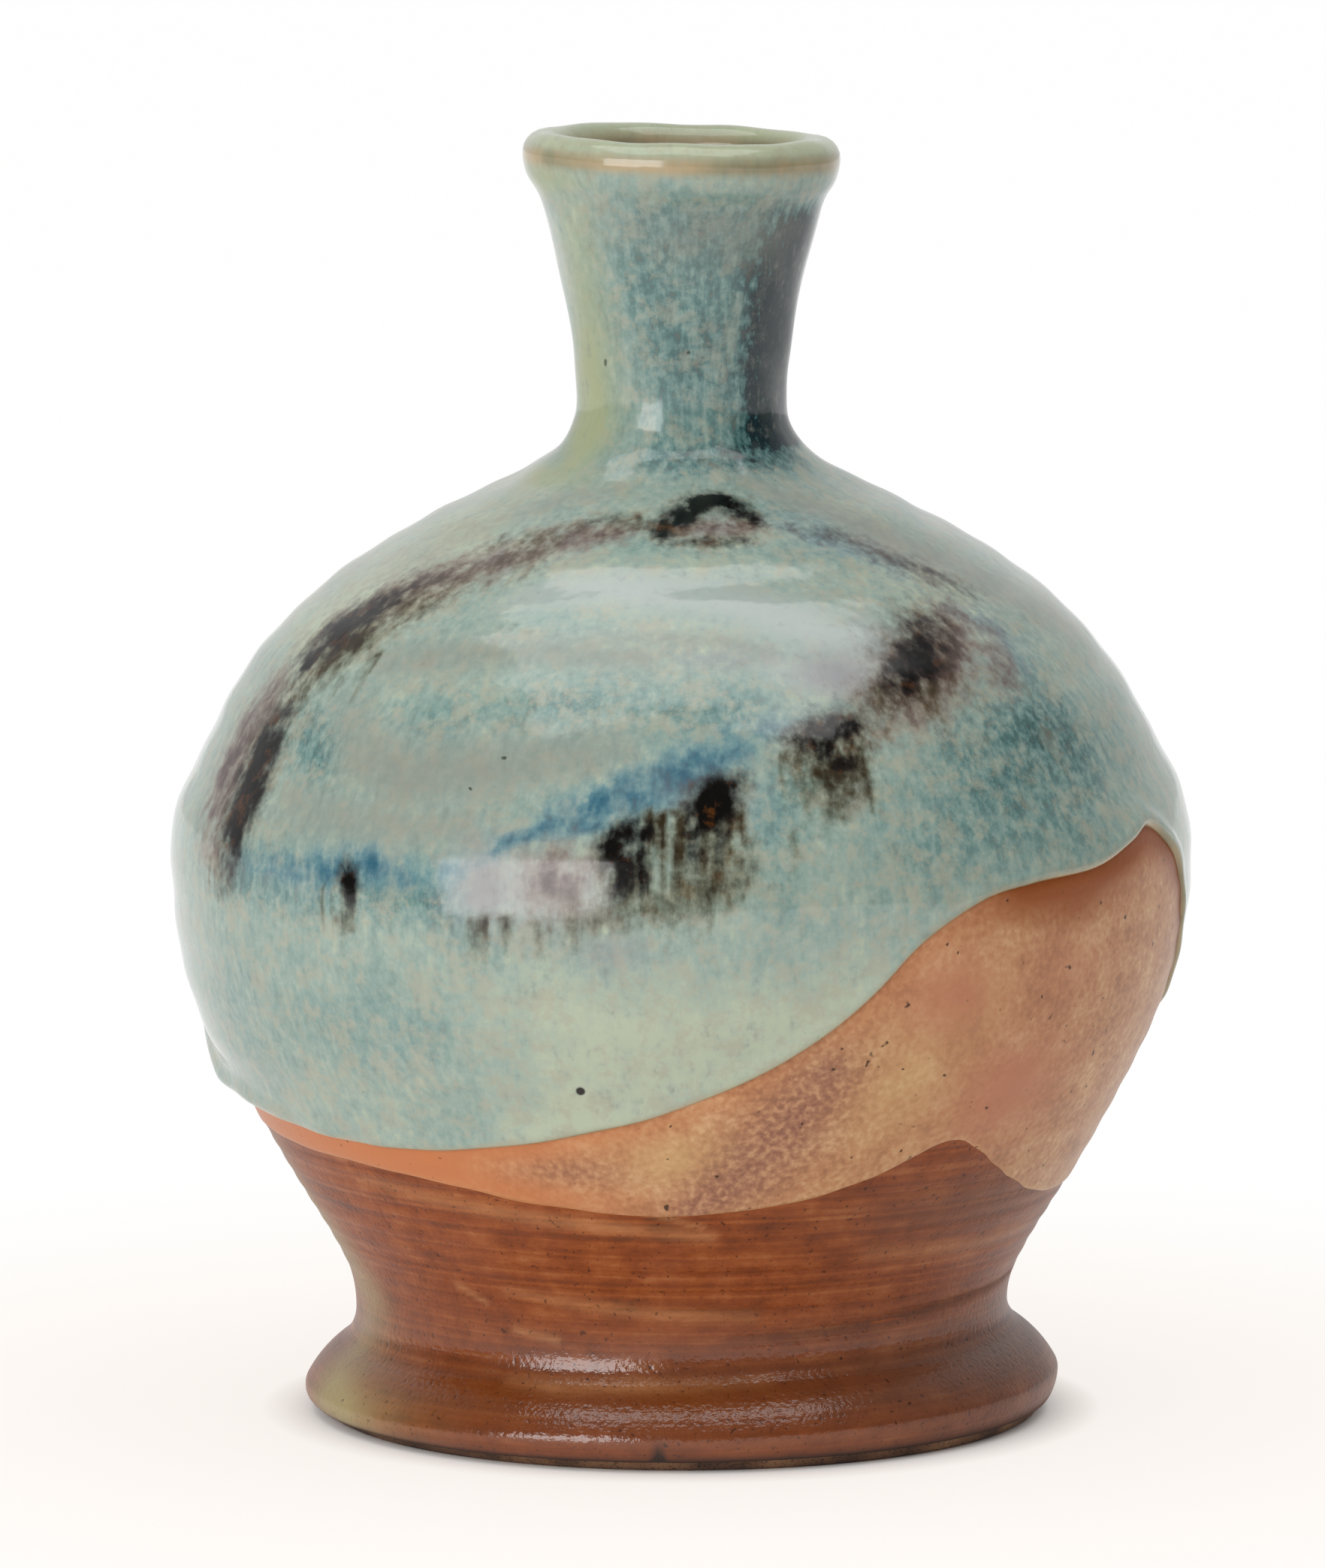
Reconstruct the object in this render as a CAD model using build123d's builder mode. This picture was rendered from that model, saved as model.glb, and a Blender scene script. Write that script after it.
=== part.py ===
from build123d import *
from math import atan2, cos, degrees, radians, sin, sqrt, tan
import os

# A bottle vase in glazed stoneware: three thrown sections luted together, under four coats of glaze.
# Millimetres, +Z up, with the origin at the centre of the ring that the foot stands on.
# An azimuth is counted in degrees from the vase's front, which faces -Y, towards +X.

# The clay's outer outline, as the circles that a potter would gauge, from the ground up. Each rise is
# measured from the circle below. The flange stands out past the waist, and the lip past the neck.
WAIST_RADIUS = 42.9
FLANGE_REACH = 6.8
FLANGE_UNDERCUT = 2.7
FLANGE_EDGE_LEAN = -42.0
FLANGE_RISE = 4.4
WAIST_RISE = 9.9
BELLY_RADIUS = 66.6
BELLY_RISE = 61.3
NECK_RADIUS = 13.0
NECK_RISE = 58.6
LIP_REACH = 7.1
LIP_RISE = 32.9
LIP_CREST_INSET = 2.0
LIP_CREST_RISE = 2.0

# A place between two of those circles: its share of the way up and across, and how far its surface
# leans back from upright, in degrees, below zero where it faces the ground
FLANGE_TOP = (0.14, 0.09, 32.0)
FLANK = (0.206, 0.207, -32.5)
SHOULDER = (0.30, 0.121, 26.5)
COLLAR = (0.806, 0.795, 65.5)
MOUTH_FLARE = (0.80, 0.62, -15.5)

# The clay's thickness
LIP_WALL = 3.7
NECK_WALL = 3.9
SHOULDER_WALL = 4.6
BELLY_WALL = 5.0
FLANK_WALL = 6.5
FLOOR_THICKNESS = 7.0
FLOOR_FLAT_RADIUS = 24.0
FOOT_WALL = 6.9
FOOT_STANDING_WIDTH = 7.5

# The round on the edges that the foot stands on, and the two luted joints, above the waist and below the neck
FOOT_EDGE_ROUND = 0.6
FOOT_JOINT_RISE = 3.2
NECK_JOINT_DROP = 4.2
NECK_JOINT_LEAN = 20.0

# The coats of glaze
CELADON_THICKNESS = 0.9
CELADON_EDGE_ROLL = 0.5
TAN_THICKNESS = 0.5
AMBER_THICKNESS = 0.4
AMBER_START_HEIGHT = 1.4
LINER_THICKNESS = 0.5

# The lower edges of the celadon and tan coats: the height about which each wanders, and how far above or
# below that it passes at each azimuth round the vase
CELADON_EDGE_HEIGHT = 55.0
CELADON_EDGE = (
    (90, 0.5), (100, -5.5), (120, -10.5), (150, -11.5), (180, -8.0), (-155, 2.0), (-137, 13.0), (-122, 15.0),
    (-108, 5.0), (-98, -4.0), (-86, -9.0), (-60, -12.2), (-38, -12.6), (-16, -9.4), (0, -4.7), (12, 1.6),
    (22, 10.2), (31, 19.2), (42, 22.3), (54, 23.2), (65, 26.4), (75, 20.5), (83, 9.0),
)
TAN_EDGE_HEIGHT = 36.0
TAN_EDGE = (
    (90, -4.4), (112, -2.5), (140, 1.0), (168, -1.0), (-164, -2.4), (-140, 1.0), (-114, 5.0), (-88, 3.5),
    (-64, 2.8), (-40, 1.8), (-20, -0.6), (-4, -2.0), (12, -0.6), (26, 2.6), (38, 6.6), (48, 2.2),
    (60, -2.6), (74, -4.3),
)

# How far the bodies that cut a coat or a joint reach past the clay, and the radii of the core they close on
CUT_MARGIN = 20.0
CUT_CORE_RADIUS = 30.0
CUT_HUB_RADIUS = 5.0


def run(place):
    """The direction in which an outline passes a place: a quarter turn on from the way its surface faces."""
    lean = radians(place[2])
    return Vector(-sin(lean), cos(lean))


def moved(place, distance):
    """A place moved straight out of the surface, to the right of the outline's run."""
    radius, height, lean = place
    return (radius + distance * cos(radians(lean)), height + distance * sin(radians(lean)), lean)


def inner(place, wall):
    """The place on the clay's inner face behind one on the outer face. It faces the other way."""
    radius, height, lean = moved(place, -wall)
    return (radius, height, lean + 180)


def between(start, end, place):
    """The place that lies at these shares of the way from one circle to the next."""
    share_up, share_across, lean = place
    return (start[0] + (end[0] - start[0]) * share_across, start[1] + (end[1] - start[1]) * share_up, lean)


def meeting(start, end):
    """Where two arcs meet that leave one place and reach the next, with the same run where they meet."""
    first = Vector(start[0], start[1])
    last = Vector(end[0], end[1])
    apart = last - first
    runs = run(start) + run(end)
    square = 2 * (run(start).dot(run(end)) - 1)
    if abs(square) < 1e-9:
        arm = apart.dot(apart) / (2 * apart.dot(runs))
    else:
        arm = (apart.dot(runs) - sqrt(apart.dot(runs) ** 2 - square * apart.dot(apart))) / square
    from_first = first + run(start) * arm
    from_last = last - run(end) * arm
    middle = (from_first + from_last) / 2
    along = from_last - from_first
    return (middle.X, middle.Y, degrees(atan2(-along.X, along.Y)))


def joined(places):
    """The places of an outline with those where its arcs meet."""
    all_places = [places[0]]
    for start, end in zip(places, places[1:]):
        all_places += [meeting(start, end), end]
    return all_places


def arcs(places, growth=0.0):
    """The tangent arcs of an outline, moved out by a coat's thickness."""
    grown = [moved(place, growth) for place in places]
    return [TangentArc(start[:2], end[:2], tangent=run(start)) for start, end in zip(grown, grown[1:])]


def stretch(places, first, last):
    """The places of an outline from one of them to another."""
    return places[places.index(first) : places.index(last) + 1]


def coat_section(places, thickness):
    """The section of a coat of glaze over a stretch of an outline."""
    with BuildSketch() as section:
        with BuildLine():
            under = arcs(places)
            over = arcs(places, thickness)
            Line(under[0] @ 0, over[0] @ 0)
            Line(under[-1] @ 1, over[-1] @ 1)
        make_face()
    return section.sketch


def level(low, high):
    """The part of the XZ half-plane that lies between two heights."""
    with BuildSketch() as section:
        with Locations((0, low)):
            Rectangle(cut_radius, high - low, align=Align.MIN)
    return section.sketch


def dip_loop(height, rises, radius):
    """The edge of a dip, as a closed curve on an upright cylinder."""
    points = [
        Vector(radius * sin(radians(azimuth)), -radius * cos(radians(azimuth)), height + rise)
        for azimuth, rise in rises
    ]
    return Wire([Edge.make_spline(points, periodic=True)])


def above(height, rises):
    """All that lies above the edge of a dip: a body whose underside is level along each radius."""
    hub = Wire.make_circle(CUT_HUB_RADIUS, Plane.XY.offset(height))
    roof = Wire.make_circle(cut_radius, Plane.XY.offset(cut_top))
    loops = [dip_loop(height, rises, radius) for radius in (CUT_CORE_RADIUS, cut_radius)]
    return Solid.make_loft([hub, *loops, roof], ruled=True)


# The clay's outline in the XZ half-plane, from the edge of the foot up to the crest of the lip
flange_radius = WAIST_RADIUS + FLANGE_REACH
foot_edge = (flange_radius - FLANGE_UNDERCUT, 0, FLANGE_EDGE_LEAN)
foot_widest = (flange_radius, FLANGE_RISE, 0)
waist_height = FLANGE_RISE + WAIST_RISE
waist = (WAIST_RADIUS, waist_height, 0)
flange_top = between(foot_widest, waist, FLANGE_TOP)
belly_height = waist_height + BELLY_RISE
belly = (BELLY_RADIUS, belly_height, 0)
flank = between(waist, belly, FLANK)
neck_height = belly_height + NECK_RISE
neck_narrow = (NECK_RADIUS, neck_height, 0)
shoulder = between(belly, neck_narrow, SHOULDER)
collar = between(belly, neck_narrow, COLLAR)
lip_height = neck_height + LIP_RISE
lip_side = (NECK_RADIUS + LIP_REACH, lip_height, 0)
mouth_flare = between(neck_narrow, lip_side, MOUTH_FLARE)
rim_height = lip_height + LIP_CREST_RISE
lip_crest = (NECK_RADIUS + LIP_REACH - LIP_CREST_INSET, rim_height, 90)

# From there it goes on over the lip and down the inner face, to the flat of the floor
foot_joint_height = waist_height + FOOT_JOINT_RISE
neck_joint_height = neck_height - NECK_JOINT_DROP
floor_height = foot_joint_height + FLOOR_THICKNESS
floor_edge = (FLOOR_FLAT_RADIUS, floor_height, 90)
mouth_depth = inner(mouth_flare, LIP_WALL)
outline = joined([
    foot_edge, foot_widest, flange_top, waist, flank, belly, shoulder, collar, neck_narrow, mouth_flare,
    lip_side, lip_crest, inner(lip_side, LIP_WALL), mouth_depth, inner(neck_narrow, NECK_WALL),
    inner(collar, SHOULDER_WALL), inner(shoulder, SHOULDER_WALL), inner(belly, BELLY_WALL),
    inner(flank, FLANK_WALL), floor_edge,
])

# The section of all the clay, before it is parted at the two luted joints
with BuildSketch() as clay_section:
    with BuildLine():
        arcs(outline)
        Polyline(
            floor_edge[:2],
            (0, floor_height),
            (0, foot_joint_height),
            (WAIST_RADIUS - FOOT_WALL, foot_joint_height),
            (foot_edge[0] - FOOT_STANDING_WIDTH, 0),
            foot_edge[:2],
        )
    make_face()

# The foot's luting seat is flat, and the neck's is a cone that rises towards the axis
cut_radius = BELLY_RADIUS + CUT_MARGIN
cut_top = rim_height + CUT_MARGIN
below_foot_joint = level(0, foot_joint_height)
cone_rise = tan(radians(NECK_JOINT_LEAN))
with BuildSketch() as above_neck_joint:
    with BuildLine():
        Polyline(
            (0, neck_joint_height + NECK_RADIUS * cone_rise),
            (cut_radius, neck_joint_height - (cut_radius - NECK_RADIUS) * cone_rise),
            (cut_radius, cut_top),
            (0, cut_top),
            close=True,
        )
    make_face()

# Foot: a thrown ring, flared to a bevelled flange, that carries the body on its flat top
with BuildPart() as foot:
    with BuildSketch(Plane.XZ):
        add(clay_section.sketch)
        add(below_foot_joint, mode=Mode.INTERSECT)
    revolve(axis=Axis.Z)
    fillet(foot.edges().group_by(Axis.Z)[0], radius=FOOT_EDGE_ROUND)
foot.part.label = "foot"

# Body: the squat belly with its floor and its shoulder, up to the collar that the neck sits on
with BuildPart() as body:
    with BuildSketch(Plane.XZ):
        add(clay_section.sketch)
        add(below_foot_joint, mode=Mode.SUBTRACT)
        add(above_neck_joint.sketch, mode=Mode.SUBTRACT)
    revolve(axis=Axis.Z)
body.part.label = "body"

# Neck: the narrow throat, flared to the mouth, with a lip rolled outwards
with BuildPart() as neck:
    with BuildSketch(Plane.XZ):
        add(clay_section.sketch)
        add(above_neck_joint.sketch, mode=Mode.INTERSECT)
    revolve(axis=Axis.Z)
neck.part.label = "neck"

# Liner glaze: a thin coat over the whole hollow, poured in and out again, up to the celadon in the mouth
liner_section = coat_section(stretch(outline, mouth_depth, floor_edge), LINER_THICKNESS)
with BuildPart() as liner_glaze:
    with BuildSketch(Plane.XZ):
        add(liner_section)
        with Locations((0, floor_height)):
            Rectangle(FLOOR_FLAT_RADIUS, LINER_THICKNESS, align=Align.MIN)
    revolve(axis=Axis.Z)
liner_glaze.part.label = "liner_glaze"

# Amber glaze: a thin brown coat from the foot's flange up to the lower edge of the tan coat
amber_section = coat_section(stretch(outline, foot_edge, belly), AMBER_THICKNESS)
amber_reach = level(AMBER_START_HEIGHT, belly_height)
with BuildPart() as amber_glaze:
    with BuildSketch(Plane.XZ):
        add(amber_section)
        add(amber_reach, mode=Mode.INTERSECT)
    revolve(axis=Axis.Z)
    add(above(TAN_EDGE_HEIGHT, TAN_EDGE), mode=Mode.SUBTRACT)
amber_glaze.part.label = "amber_glaze"

# Tan glaze: the matt coat of the second dip, which shows in a crescent under the celadon
tan_section = coat_section(stretch(outline, flank, shoulder), TAN_THICKNESS)
with BuildPart() as tan_glaze:
    with BuildSketch(Plane.XZ):
        add(tan_section)
    revolve(axis=Axis.Z)
    add(above(TAN_EDGE_HEIGHT, TAN_EDGE), mode=Mode.INTERSECT)
    add(above(CELADON_EDGE_HEIGHT, CELADON_EDGE), mode=Mode.SUBTRACT)
tan_glaze.part.label = "tan_glaze"

# Celadon glaze: the thick coat over shoulder, neck and lip, which ends below in a wavy rolled edge
celadon_section = coat_section(stretch(outline, flank, mouth_depth), CELADON_THICKNESS)
with BuildPart() as celadon_glaze:
    with BuildSketch(Plane.XZ):
        add(celadon_section)
    revolve(axis=Axis.Z)
    add(above(CELADON_EDGE_HEIGHT, CELADON_EDGE), mode=Mode.INTERSECT)
    underside = celadon_glaze.faces().filter_by(GeomType.BSPLINE).sort_by(SortBy.AREA)[-1]
    dip_edges = underside.edges().filter_by(lambda edge: edge.distance_to(body.part) > CELADON_THICKNESS / 2)
    fillet(dip_edges, radius=min(CELADON_EDGE_ROLL, 0.6 * CELADON_THICKNESS))
celadon_glaze.part.label = "celadon_glaze"

os.makedirs("parts", exist_ok=True)
for piece in (foot, body, neck, liner_glaze, amber_glaze, tan_glaze, celadon_glaze):
    export_step(piece.part, f"parts/{piece.part.label}.step")
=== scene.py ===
import bpy
import numpy as np
from math import atan2, cos, degrees, hypot, radians, sin, sqrt
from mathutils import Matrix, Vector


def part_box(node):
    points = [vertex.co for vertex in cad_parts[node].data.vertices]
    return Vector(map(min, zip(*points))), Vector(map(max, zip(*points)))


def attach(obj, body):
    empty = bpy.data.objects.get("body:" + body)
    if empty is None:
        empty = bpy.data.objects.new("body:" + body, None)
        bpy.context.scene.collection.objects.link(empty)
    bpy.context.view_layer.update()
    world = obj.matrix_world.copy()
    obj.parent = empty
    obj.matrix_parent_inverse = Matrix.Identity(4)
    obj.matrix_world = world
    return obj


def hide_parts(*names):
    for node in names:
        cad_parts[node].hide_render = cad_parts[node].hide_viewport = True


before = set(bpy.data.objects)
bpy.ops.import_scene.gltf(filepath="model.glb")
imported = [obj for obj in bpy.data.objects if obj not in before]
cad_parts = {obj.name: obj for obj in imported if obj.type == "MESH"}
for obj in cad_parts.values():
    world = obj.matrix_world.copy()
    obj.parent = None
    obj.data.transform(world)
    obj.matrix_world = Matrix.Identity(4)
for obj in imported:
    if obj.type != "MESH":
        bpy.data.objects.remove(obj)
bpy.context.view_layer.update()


# The clay: foot, body and neck. They are brown stoneware, thrown on the wheel as three sections and luted
# together while leather-hard. Only the edge and the underside of the foot stay bare, so the outline that
# they share, and the tilt that drying gave them, set the place of every coat of glaze.

MM = 0.001

FLANGE_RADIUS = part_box("foot")[1].x / MM
BELLY_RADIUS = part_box("body")[1].x / MM
LIP_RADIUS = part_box("neck")[1].x / MM
RIM_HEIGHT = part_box("neck")[1].z / MM
FOOT_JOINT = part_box("foot")[1].z / MM
NECK_JOINT = 130.0
NECK_JOINT_INSIDE = NECK_JOINT + 1.4
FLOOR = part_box("liner_glaze")[0].z / MM
FLOOR_RADIUS = 24.0
FLANGE_OVERHANG = 2.7
LIP_ROUND = 2.0
LIP_WALL, NECK_WALL, SHOULDER_WALL, BELLY_WALL, FLANK_WALL = 3.7, 3.9, 4.6, 5.0, 6.5


def inner(place, wall):
    """The place on the inner face behind one on the outer face, which faces the other way."""
    radius, height, lean = place
    return radius - wall * cos(radians(lean)), height - wall * sin(radians(lean)), lean + 180


# Places on the outline as radius, height and how far the surface leans back from upright, in mm and degrees
FOOT_EDGE = (FLANGE_RADIUS - FLANGE_OVERHANG, 0.0, -42.0)
FLANGE = (FLANGE_RADIUS, 4.4, 0.0)
FLANGE_TOP = (49.1, 5.8, 32.0)
WAIST = (42.9, 14.3, 0.0)
FLANK = (47.8, 26.9, -32.5)
BELLY = (BELLY_RADIUS, 75.6, 0.0)
SHOULDER = (60.1, 93.2, 26.5)
COLLAR = (24.0, 122.8, 65.5)
NECK = (13.0, 134.2, 0.0)
MOUTH = (17.4, 160.5, -15.5)
LIP = (LIP_RADIUS, RIM_HEIGHT - LIP_ROUND, 0.0)
CREST = (LIP_RADIUS - LIP_ROUND, RIM_HEIGHT, 90.0)
PLACES = [
    FOOT_EDGE, FLANGE, FLANGE_TOP, WAIST, FLANK, BELLY, SHOULDER, COLLAR, NECK, MOUTH, LIP, CREST,
    inner(LIP, LIP_WALL), inner(MOUTH, LIP_WALL), inner(NECK, NECK_WALL), inner(COLLAR, SHOULDER_WALL),
    inner(SHOULDER, SHOULDER_WALL), inner(BELLY, BELLY_WALL), inner(FLANK, FLANK_WALL),
    (FLOOR_RADIUS, FLOOR, 90.0),
]


def run(lean):
    """The direction in which the outline passes a surface that leans so."""
    return np.array((-sin(radians(lean)), cos(radians(lean))))


def meeting(start, end):
    """Where two arcs meet that leave one place and reach the next with no corner between them."""
    first, last = np.array(start[:2]), np.array(end[:2])
    apart, runs = last - first, run(start[2]) + run(end[2])
    square = 2 * (run(start[2]) @ run(end[2]) - 1)
    if abs(square) < 1e-9:
        arm = apart @ apart / (2 * apart @ runs)
    else:
        arm = (apart @ runs - sqrt((apart @ runs) ** 2 - square * apart @ apart)) / square
    from_first, from_last = first + run(start[2]) * arm, last - run(end[2]) * arm
    along = from_last - from_first
    middle = (from_first + from_last) / 2
    return middle[0], middle[1], degrees(atan2(-along[0], along[1]))


def arc(start, end, step=0.1):
    """Radius, height and lean at steps along the arc that leaves one place and reaches the next."""
    radius, height, lean = start
    across, up = end[0] - radius, end[1] - height
    heading = radians(lean + 90)
    half_turn = (atan2(up, across) - heading + np.pi) % (2 * np.pi) - np.pi
    share = np.arange(0, 1, step / hypot(across, up))
    if abs(half_turn) < 1e-6:
        chord = hypot(across, up) * share
    else:
        chord = hypot(across, up) * np.sin(half_turn * share) / sin(half_turn)
    direction = heading + half_turn * share
    leans = radians(lean) + 2 * half_turn * share
    return np.stack((radius + chord * np.cos(direction), height + chord * np.sin(direction), leans))


def trace(places):
    """The whole outline: its length from the foot's edge, and radius, height and lean along it."""
    arcs = []
    for start, end in zip(places, places[1:]):
        middle = meeting(start, end)
        arcs += [arc(start, middle), arc(middle, end)]
    radius, height, lean = np.concatenate(arcs, axis=1)
    length = np.concatenate(([0], np.cumsum(np.hypot(np.diff(radius), np.diff(height)))))
    return length, radius, height, np.unwrap(lean)


LENGTH, RADIUS, HEIGHT, LEAN = trace(PLACES)
CREST_INDEX = int(np.argmax(HEIGHT))
CREST_LENGTH = LENGTH[CREST_INDEX]


def outside(height):
    """The length along the outline at a height on the outer face."""
    return np.interp(height, HEIGHT[: CREST_INDEX + 1], LENGTH[: CREST_INDEX + 1])


def inside(height):
    """The length along the outline at a height on the inner face."""
    return np.interp(-height, -HEIGHT[CREST_INDEX:], LENGTH[CREST_INDEX:])


def surface(length, thickness=0.0):
    """Radius and height of the glazed surface, a thickness out from the clay."""
    lean = np.interp(length, LENGTH, LEAN)
    radius = np.interp(length, LENGTH, RADIUS) + thickness * np.cos(lean)
    height = np.interp(length, LENGTH, HEIGHT) + thickness * np.sin(lean)
    return radius, height


def smooth(value, low, high):
    """Zero below low, one above high, and an even rise between them."""
    share = np.clip((value - low) / (high - low), 0, 1)
    return share * share * (3 - 2 * share)


RIM_RISE_LEFT, RIM_RISE_FRONT, FLANGE_RISE_RIGHT = 0.026, 0.018, 0.022


def settled(x, y, z):
    """Where a point lies after drying: the rim rises to the left and front, the flange to the right."""
    rim = smooth(z, 135, 166)
    flange = smooth(z, 0, FLANGE[1]) * (1 - smooth(z, 10, 20))
    z = z - rim * (RIM_RISE_LEFT * x + RIM_RISE_FRONT * y) + flange * FLANGE_RISE_RIGHT * x
    return x, y, z


SHARP_ANGLE = radians(50)


def turned(name, radius, height, azimuth, ends_meet=True):
    """A closed mesh from rings: the radius and height of each ring at each azimuth from the front."""
    radius, height, azimuth = np.broadcast_arrays(radius, height, azimuth)
    x, y, z = settled(radius * np.sin(azimuth), -radius * np.cos(azimuth), height)
    rings, columns = radius.shape
    index = np.arange(rings * columns).reshape(rings, columns)
    below = index if ends_meet else index[:-1]
    above = np.roll(index, -1, axis=0) if ends_meet else index[1:]
    corners = (below, np.roll(below, -1, axis=1), np.roll(above, -1, axis=1), above)
    faces = np.stack(corners, axis=-1).reshape(-1, 4).tolist()
    if not ends_meet:
        faces += [index[0, ::-1].tolist(), index[-1].tolist()]
    mesh = bpy.data.meshes.new(name)
    mesh.from_pydata((np.stack((x, y, z), axis=-1).reshape(-1, 3) * MM).tolist(), [], faces)
    mesh.shade_smooth()
    mesh.set_sharp_from_angle(angle=SHARP_ANGLE)
    piece = bpy.data.objects.new(name, mesh)
    bpy.context.scene.collection.objects.link(piece)
    return piece


def around(columns):
    """Azimuths of the columns of a mesh, in radians from the front towards the right."""
    return np.linspace(-np.pi, np.pi, columns, endpoint=False)[None, :]


def linear(colour):
    """An sRGB hex colour as linear RGBA."""
    parts = [int(colour[i : i + 2], 16) / 255 for i in (1, 3, 5)]
    return [p / 12.92 if p <= 0.04045 else ((p + 0.055) / 1.055) ** 2.4 for p in parts] + [1.0]


def add(tree, kind, inputs=None, out=0, stops=None, **settings):
    """Adds a shader node with its settings, inputs as values or links, and the stops of a ramp."""
    node = tree.nodes.new("ShaderNode" + kind)
    for setting, value in settings.items():
        setattr(node, setting, value)
    for socket, value in (inputs or {}).items():
        if isinstance(value, bpy.types.NodeSocket):
            tree.links.new(value, node.inputs[socket])
        else:
            node.inputs[socket].default_value = value
    if stops:
        ramp = node.color_ramp.elements
        ends = (stops[0], stops[-1])
        for element, (position, colour) in zip(ramp, ends):
            element.position = position
            element.color = linear(colour)
        for position, colour in stops[1:-1]:
            ramp.new(position).color = linear(colour)
    return node.outputs[out] if node.outputs else node


def material(name):
    """A new material with an empty node tree."""
    made = bpy.data.materials.new(name)
    made.use_nodes = True
    made.node_tree.nodes.clear()
    return made


def per_metre(size_mm):
    """The noise scale that gives features of a size in mm."""
    return 1 / (size_mm * MM)


# Bare fired stoneware: matt, toasted brown where the flame touched it, gritty from sand in the clay
stoneware = material("bare_fired_stoneware")
tree = stoneware.node_tree
place = add(tree, "TexCoord", out="Object")
toast = add(tree, "TexNoise", {"Vector": place, "Scale": per_metre(9), "Detail": 4})
clay_colour = add(tree, "ValToRGB", {"Fac": toast}, stops=[
    (0.35, "#4a3122"), (0.5, "#6b4a33"), (0.68, "#8a6547"),
])
grit = add(tree, "TexNoise", {"Vector": place, "Scale": per_metre(0.5), "Detail": 3, "Roughness": 0.7})
sand = add(tree, "ValToRGB", {"Fac": grit}, stops=[(0.38, "#3c2a1f"), (0.46, "#ffffff")])
clay_colour = add(tree, "MixRGB", {
    "Fac": 0.8, "Color1": clay_colour, "Color2": sand,
}, blend_type="MULTIPLY")
relief = add(tree, "Bump", {"Height": grit, "Distance": 0.0002, "Strength": 0.5})
clay = add(tree, "BsdfPrincipled", {"Base Color": clay_colour, "Roughness": 0.85, "Normal": relief})
add(tree, "OutputMaterial", {"Surface": clay})

CLAY_COLUMNS = 160
EDGE_ROUND = 0.6
FOOT_WALL = 6.9
STANDING_RING = 7.5
INNERMOST = 1
clay_around = around(CLAY_COLUMNS)


def section(*stretches):
    """The rings of a piece of clay, from stretches of radii and heights, as columns of the mesh."""
    radii = np.concatenate([np.atleast_1d(r) for r, _ in stretches])
    heights = np.concatenate([np.atleast_1d(h) for _, h in stretches])
    return radii[:, None], heights[:, None]


foot_face = surface(np.linspace(0.5, outside(FOOT_JOINT), 60))
ring_inside = FOOT_EDGE[0] - STANDING_RING
recess = (np.linspace(WAIST[0] - FOOT_WALL, ring_inside, 20), np.linspace(FOOT_JOINT, EDGE_ROUND, 20))
standing = (np.linspace(ring_inside + EDGE_ROUND, FOOT_EDGE[0] - 0.4, 8), np.zeros(8))
foot = turned("foot_clay", *section(foot_face, recess, standing), clay_around)

body_outer = surface(np.linspace(outside(FOOT_JOINT), outside(NECK_JOINT), 120))
body_inner = surface(np.linspace(inside(NECK_JOINT_INSIDE), LENGTH[-1], 120))
body_base = (np.linspace(INNERMOST, body_outer[0][0], 30)[:-1], np.full(29, FOOT_JOINT))
body_floor = (np.linspace(FLOOR_RADIUS, INNERMOST, 12)[1:], np.full(11, FLOOR))
body_rings = section(body_base, body_outer, body_inner, body_floor)
body = turned("body_clay", *body_rings, clay_around, ends_meet=False)

neck_face = surface(np.linspace(outside(NECK_JOINT), inside(NECK_JOINT_INSIDE), 150))
neck = turned("neck_clay", *section(neck_face), clay_around)

for piece, node in ((foot, "foot"), (body, "body"), (neck, "neck")):
    piece.data.materials.append(stoneware)
    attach(piece, "root")
    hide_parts(node)


# The liner glaze: a thin iron glaze, poured into the vase and out again, so that it holds water.
# It is glossy, amber over the brown clay, and paler where it ran thin over the throwing rings.

LINER_THICKNESS = 0.5
LINER_BACK = 0.1
RIDGE_HEIGHT, RIDGE_PITCH = 0.12, 5.5

liner = material("poured_liner_glaze")
tree = liner.node_tree
place = add(tree, "TexCoord", out="Object")
thin = add(tree, "TexNoise", {"Vector": place, "Scale": per_metre(6), "Detail": 4})
liner_colour = add(tree, "ValToRGB", {"Fac": thin}, stops=[
    (0.3, "#6d4e2c"), (0.55, "#8f7145"), (0.75, "#a9916a"),
])
wobble = add(tree, "TexNoise", {"Vector": place, "Scale": per_metre(3), "Detail": 2})
relief = add(tree, "Bump", {"Height": wobble, "Distance": 0.0004, "Strength": 0.4})
gloss = add(tree, "BsdfPrincipled", {"Base Color": liner_colour, "Roughness": 0.2, "Normal": relief})
add(tree, "OutputMaterial", {"Surface": gloss})

MOUTH_INSIDE = inside(inner(MOUTH, LIP_WALL)[1])
liner_length = np.linspace(MOUTH_INSIDE, LENGTH[-1], 160)
ridges = RIDGE_HEIGHT * np.sin(liner_length * 2 * np.pi / RIDGE_PITCH)
liner_face = surface(liner_length, LINER_THICKNESS + ridges)
liner_back = surface(liner_length[::-4], LINER_BACK)
floor_rings = np.linspace(FLOOR_RADIUS, INNERMOST, 14)[1:]
liner_piece = turned(
    "liner_glaze_coat",
    *section(
        (floor_rings[::-1], np.full(13, FLOOR + LINER_BACK)), liner_back, liner_face,
        (floor_rings, np.full(13, FLOOR + LINER_THICKNESS)),
    ),
    clay_around, ends_meet=False,
)
liner_piece.data.materials.append(liner)
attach(liner_piece, "root")
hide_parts("liner_glaze")


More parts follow.
